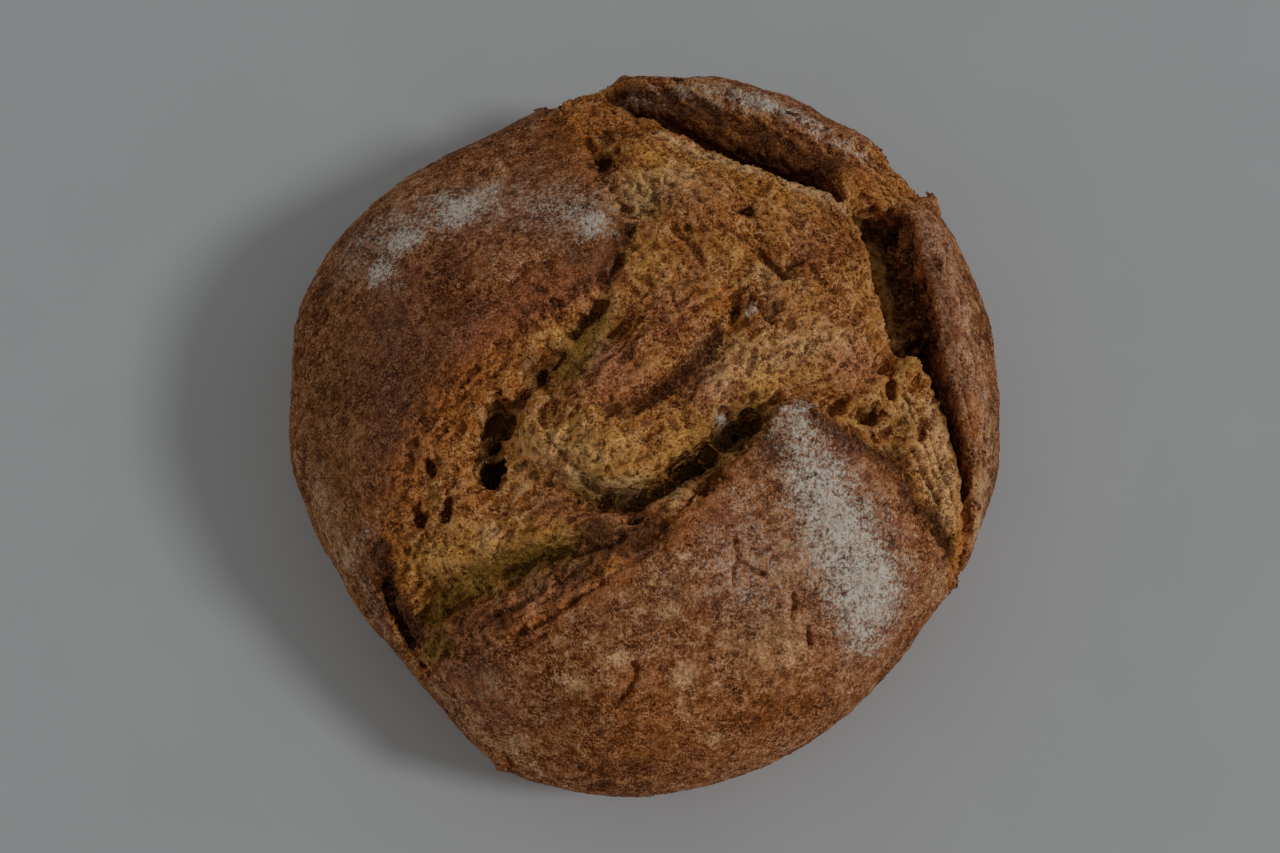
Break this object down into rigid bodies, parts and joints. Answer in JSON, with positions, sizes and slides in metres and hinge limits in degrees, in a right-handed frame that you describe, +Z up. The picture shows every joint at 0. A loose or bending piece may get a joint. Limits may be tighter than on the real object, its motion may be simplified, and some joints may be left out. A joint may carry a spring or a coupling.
{
  "type": "rustic rye loaf",
  "caption": "Round rye loaf, scored with a cross before baking, its crust burst open over torn crumb and dusted with flour, resting on its flat underside",
  "frame": {"origin": "centre of the loaf's box on the surface it rests on", "axes": "+Z up through the crown, +X to the right and +Y away from the viewer of the picture"},
  "size_m": [0.2184, 0.2268, 0.0918],
  "materials": {
    "crust": "matte, baked rye crust and torn crumb with flour dust"
  },
  "bodies": {
    "root": {"loaf": "crust"}
  },
  "joints": []
}
